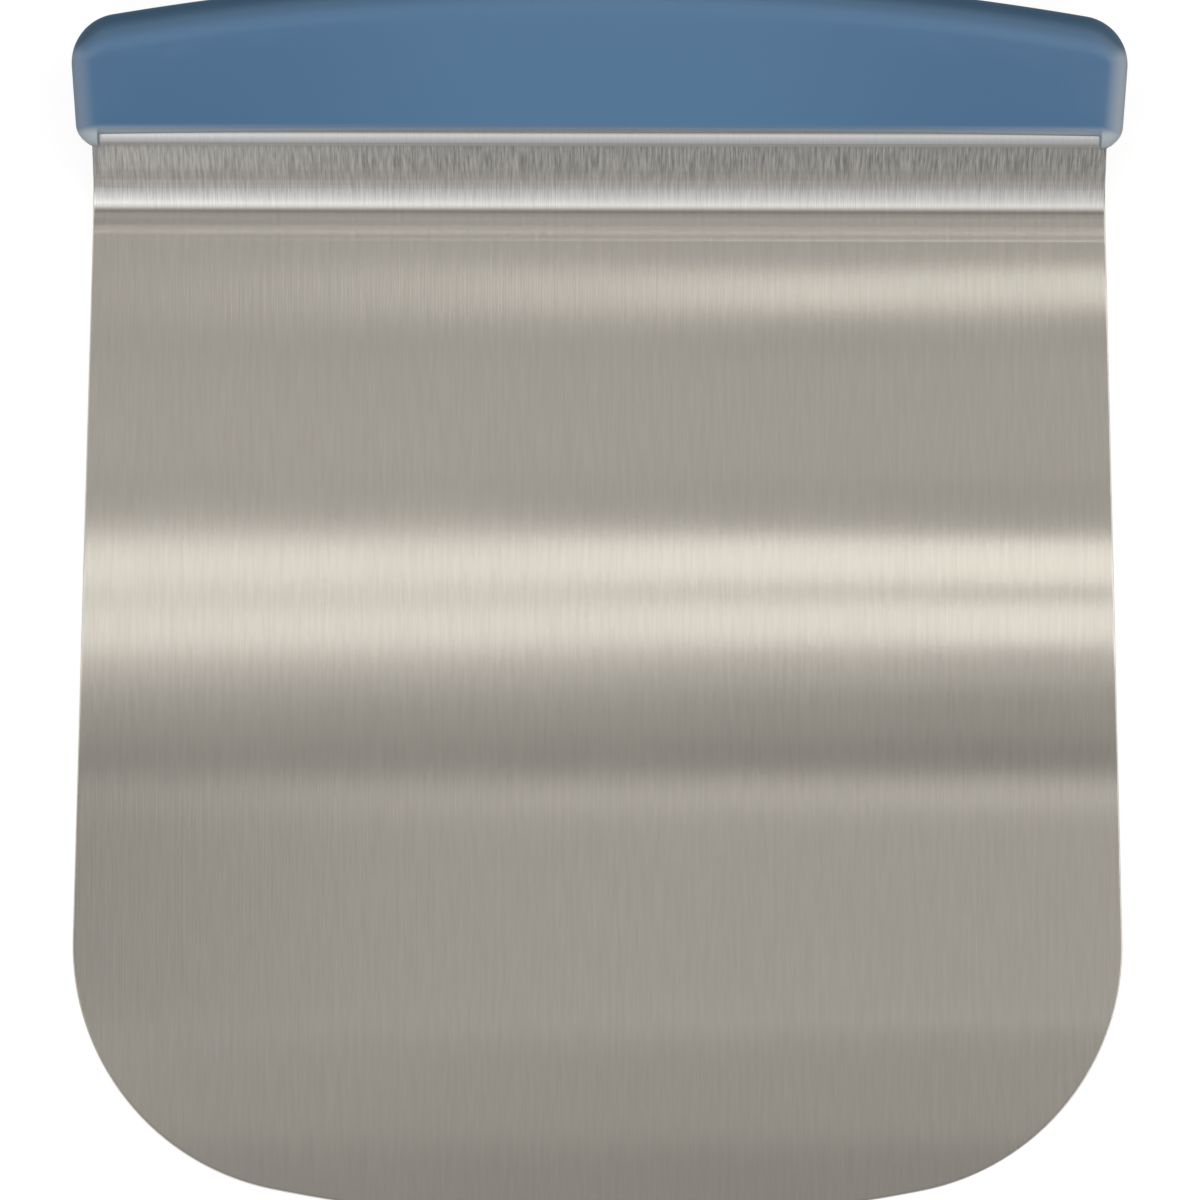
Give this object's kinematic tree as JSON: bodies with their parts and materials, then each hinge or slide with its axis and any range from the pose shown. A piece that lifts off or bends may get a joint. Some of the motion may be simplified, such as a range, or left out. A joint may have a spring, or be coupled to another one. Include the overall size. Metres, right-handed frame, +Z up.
{
  "type": "cake lifter",
  "caption": "Wide flat stainless steel cake lifter with rounded front corners, a raised step at the back and a moulded plastic bar handle across its full width.",
  "frame": {"origin": "centre of the footprint, on the table that the blade lies on", "axes": "+X across the blade, +Y from the blade's front edge towards the handle, +Z up from the table"},
  "size_m": [0.2032, 0.2401, 0.028],
  "materials": {
    "blade_steel": "fine brushed, grain running from the handle to the front edge",
    "handle_plastic": "satin gloss, muted blue",
    "screw_steel": "plain machined"
  },
  "bodies": {
    "root": {"blade": "blade_steel", "handle_top_shell": "handle_plastic", "handle_bottom_shell": "handle_plastic", "handle_screw_1": "screw_steel", "handle_screw_2": "screw_steel", "handle_screw_3": "screw_steel", "handle_screw_4": "screw_steel"}
  },
  "joints": []
}
